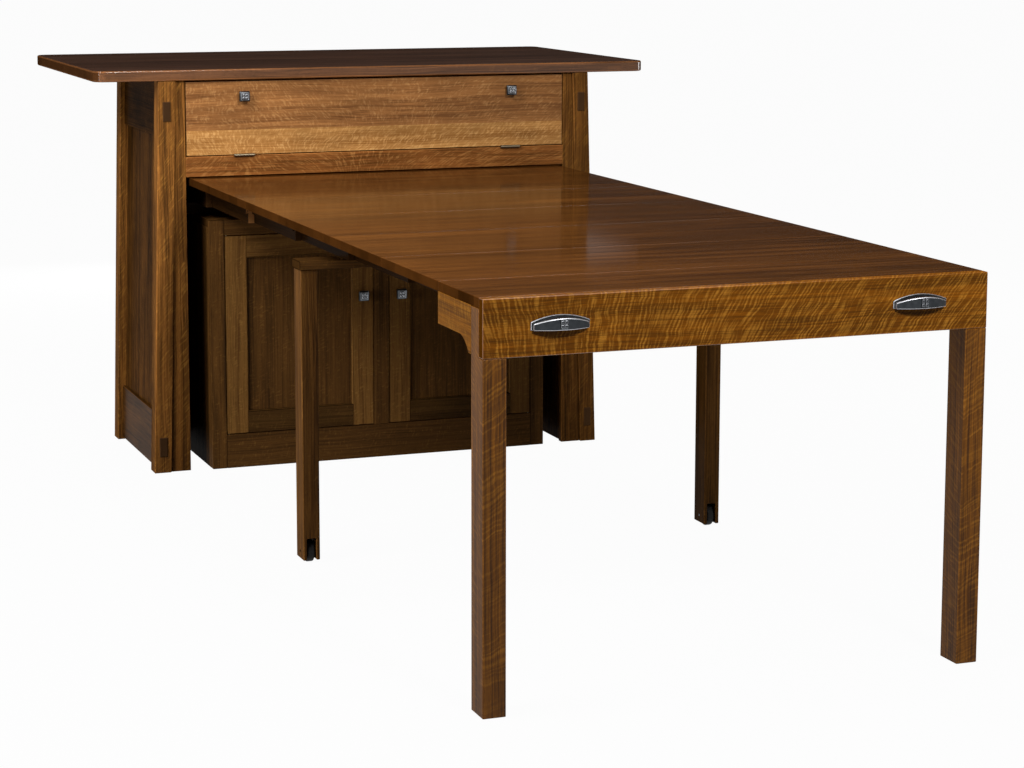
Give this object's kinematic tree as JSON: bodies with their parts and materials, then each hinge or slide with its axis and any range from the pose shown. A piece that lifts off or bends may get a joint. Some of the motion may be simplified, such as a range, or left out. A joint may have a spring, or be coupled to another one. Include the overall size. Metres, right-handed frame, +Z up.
{
  "type": "kitchen island with pull-out leaf table",
  "caption": "Oak kitchen island: a splayed-post case with an overhanging top, fall-front leaf store and cupboard doors, and a pull-out leaf table on telescoping slides with rolling mid legs.",
  "frame": {"origin": "on the floor, on the centre line, in the plane of the case's front stiles", "axes": "+Y from the table's free end towards the case's back, +Z up, +X to the right of someone who faces the case from the table"},
  "size_m": [1.502, 3.0248, 1.04],
  "materials": {
    "oak_table_stain": "satin",
    "oak_golden_stain": "satin",
    "oak_dark_stain": "satin",
    "plain_hardwood": "waxed",
    "dark_pewter": "satin",
    "dark_brass": "satin",
    "bright_steel": "brushed",
    "grey_tread": "matte"
  },
  "bodies": {
    "case": {"top_slab": "oak_dark_stain", "front_post_left": "oak_dark_stain", "front_post_right": "oak_dark_stain", "back_post_left": "oak_dark_stain", "back_post_right": "oak_dark_stain", "through_tenons": "oak_dark_stain", "side_top_rails": "oak_dark_stain", "side_bottom_rails": "oak_dark_stain", "side_panels": "oak_dark_stain", "side_liners": "oak_dark_stain", "back_frame": "oak_dark_stain", "back_panels": "oak_dark_stain", "front_stile_left": "oak_dark_stain", "front_stile_right": "oak_dark_stain", "front_rail": "oak_golden_stain", "store_floor": "oak_dark_stain", "slab_stretchers": "oak_dark_stain", "flap_hinge_plates": "dark_brass", "flap_hinge_pins": "dark_brass", "cabinet_sides": "oak_dark_stain", "shelf_pins": "bright_steel", "cabinet_top": "oak_dark_stain", "cabinet_bottom": "oak_dark_stain", "cabinet_shelf": "oak_dark_stain", "cabinet_stiles": "oak_dark_stain", "cabinet_mullion": "oak_dark_stain", "cabinet_rails": "oak_dark_stain", "door_pivots": "dark_brass", "slide_bearers": "plain_hardwood", "slide_fixed": "plain_hardwood"},
    "fall_flap": {"flap_boards": "oak_golden_stain", "flap_knobs": "dark_pewter", "flap_hinge_leaves": "dark_brass"},
    "left_door": {"left_door_frame": "oak_dark_stain", "left_door_panel": "oak_dark_stain", "left_door_knob": "dark_pewter"},
    "right_door": {"right_door_frame": "oak_dark_stain", "right_door_panel": "oak_dark_stain", "right_door_knob": "dark_pewter"},
    "table_end": {"apron": "oak_golden_stain", "pull_left": "dark_pewter", "pull_right": "dark_pewter", "front_leg_left": "oak_golden_stain", "front_leg_right": "oak_golden_stain", "corner_brackets": "oak_golden_stain", "front_board": "oak_table_stain", "leaves": "oak_table_stain", "leaf_dowels": "plain_hardwood", "slide_bar_6": "plain_hardwood"},
    "mid_frame": {"mid_leg_left": "oak_dark_stain", "mid_leg_right": "oak_dark_stain", "crossbar": "oak_dark_stain", "caster_axles": "bright_steel", "slide_bar_3": "plain_hardwood"},
    "caster_wheel_left": {"caster_left": "grey_tread"},
    "caster_wheel_right": {"caster_right": "grey_tread"},
    "bars_1": {"slide_bar_1": "plain_hardwood"},
    "bars_2": {"slide_bar_2": "plain_hardwood"},
    "bars_4": {"slide_bar_4": "plain_hardwood"},
    "bars_5": {"slide_bar_5": "plain_hardwood"}
  },
  "joints": [
    {"name": "table_slide", "type": "slide", "parent": "case", "child": "table_end", "axis": [0, 1, 0], "range_m": [0, 0.325]},
    {"name": "mid_frame_slide", "type": "slide", "parent": "case", "child": "mid_frame", "axis": [0, 1, 0], "range_m": [0, 0.163]},
    {"name": "bars_1_slide", "type": "slide", "parent": "case", "child": "bars_1", "axis": [0, 1, 0], "range_m": [0, 0.0547]},
    {"name": "bars_2_slide", "type": "slide", "parent": "case", "child": "bars_2", "axis": [0, 1, 0], "range_m": [0, 0.1088]},
    {"name": "bars_4_slide", "type": "slide", "parent": "case", "child": "bars_4", "axis": [0, 1, 0], "range_m": [0, 0.2172]},
    {"name": "bars_5_slide", "type": "slide", "parent": "case", "child": "bars_5", "axis": [0, 1, 0], "range_m": [0, 0.2713]},
    {"name": "caster_left_spin", "type": "hinge", "parent": "mid_frame", "child": "caster_wheel_left", "pos_m": [-0.489, -0.999, 0.025], "axis": [1, 0, 0], "continuous": true},
    {"name": "caster_right_spin", "type": "hinge", "parent": "mid_frame", "child": "caster_wheel_right", "pos_m": [0.489, -0.999, 0.025], "axis": [1, 0, 0], "continuous": true},
    {"name": "flap_hinge", "type": "hinge", "parent": "case", "child": "fall_flap", "pos_m": [0, -0.0043, 0.818], "axis": [1, 0, 0], "range_deg": [0, 90]},
    {"name": "left_door_hinge", "type": "hinge", "parent": "case", "child": "left_door", "pos_m": [-0.417, -0.005, 0.35], "axis": [0, 0, -1], "range_deg": [0, 110]},
    {"name": "right_door_hinge", "type": "hinge", "parent": "case", "child": "right_door", "pos_m": [0.417, -0.005, 0.35], "axis": [0, 0, 1], "range_deg": [0, 110]}
  ],
  "couplings": [
    {"joint": "mid_frame_slide", "follows": "table_slide", "ratio": 0.5},
    {"joint": "bars_1_slide", "follows": "table_slide", "ratio": 0.16667},
    {"joint": "bars_2_slide", "follows": "table_slide", "ratio": 0.33333},
    {"joint": "bars_4_slide", "follows": "table_slide", "ratio": 0.66667},
    {"joint": "bars_5_slide", "follows": "table_slide", "ratio": 0.83333}
  ]
}
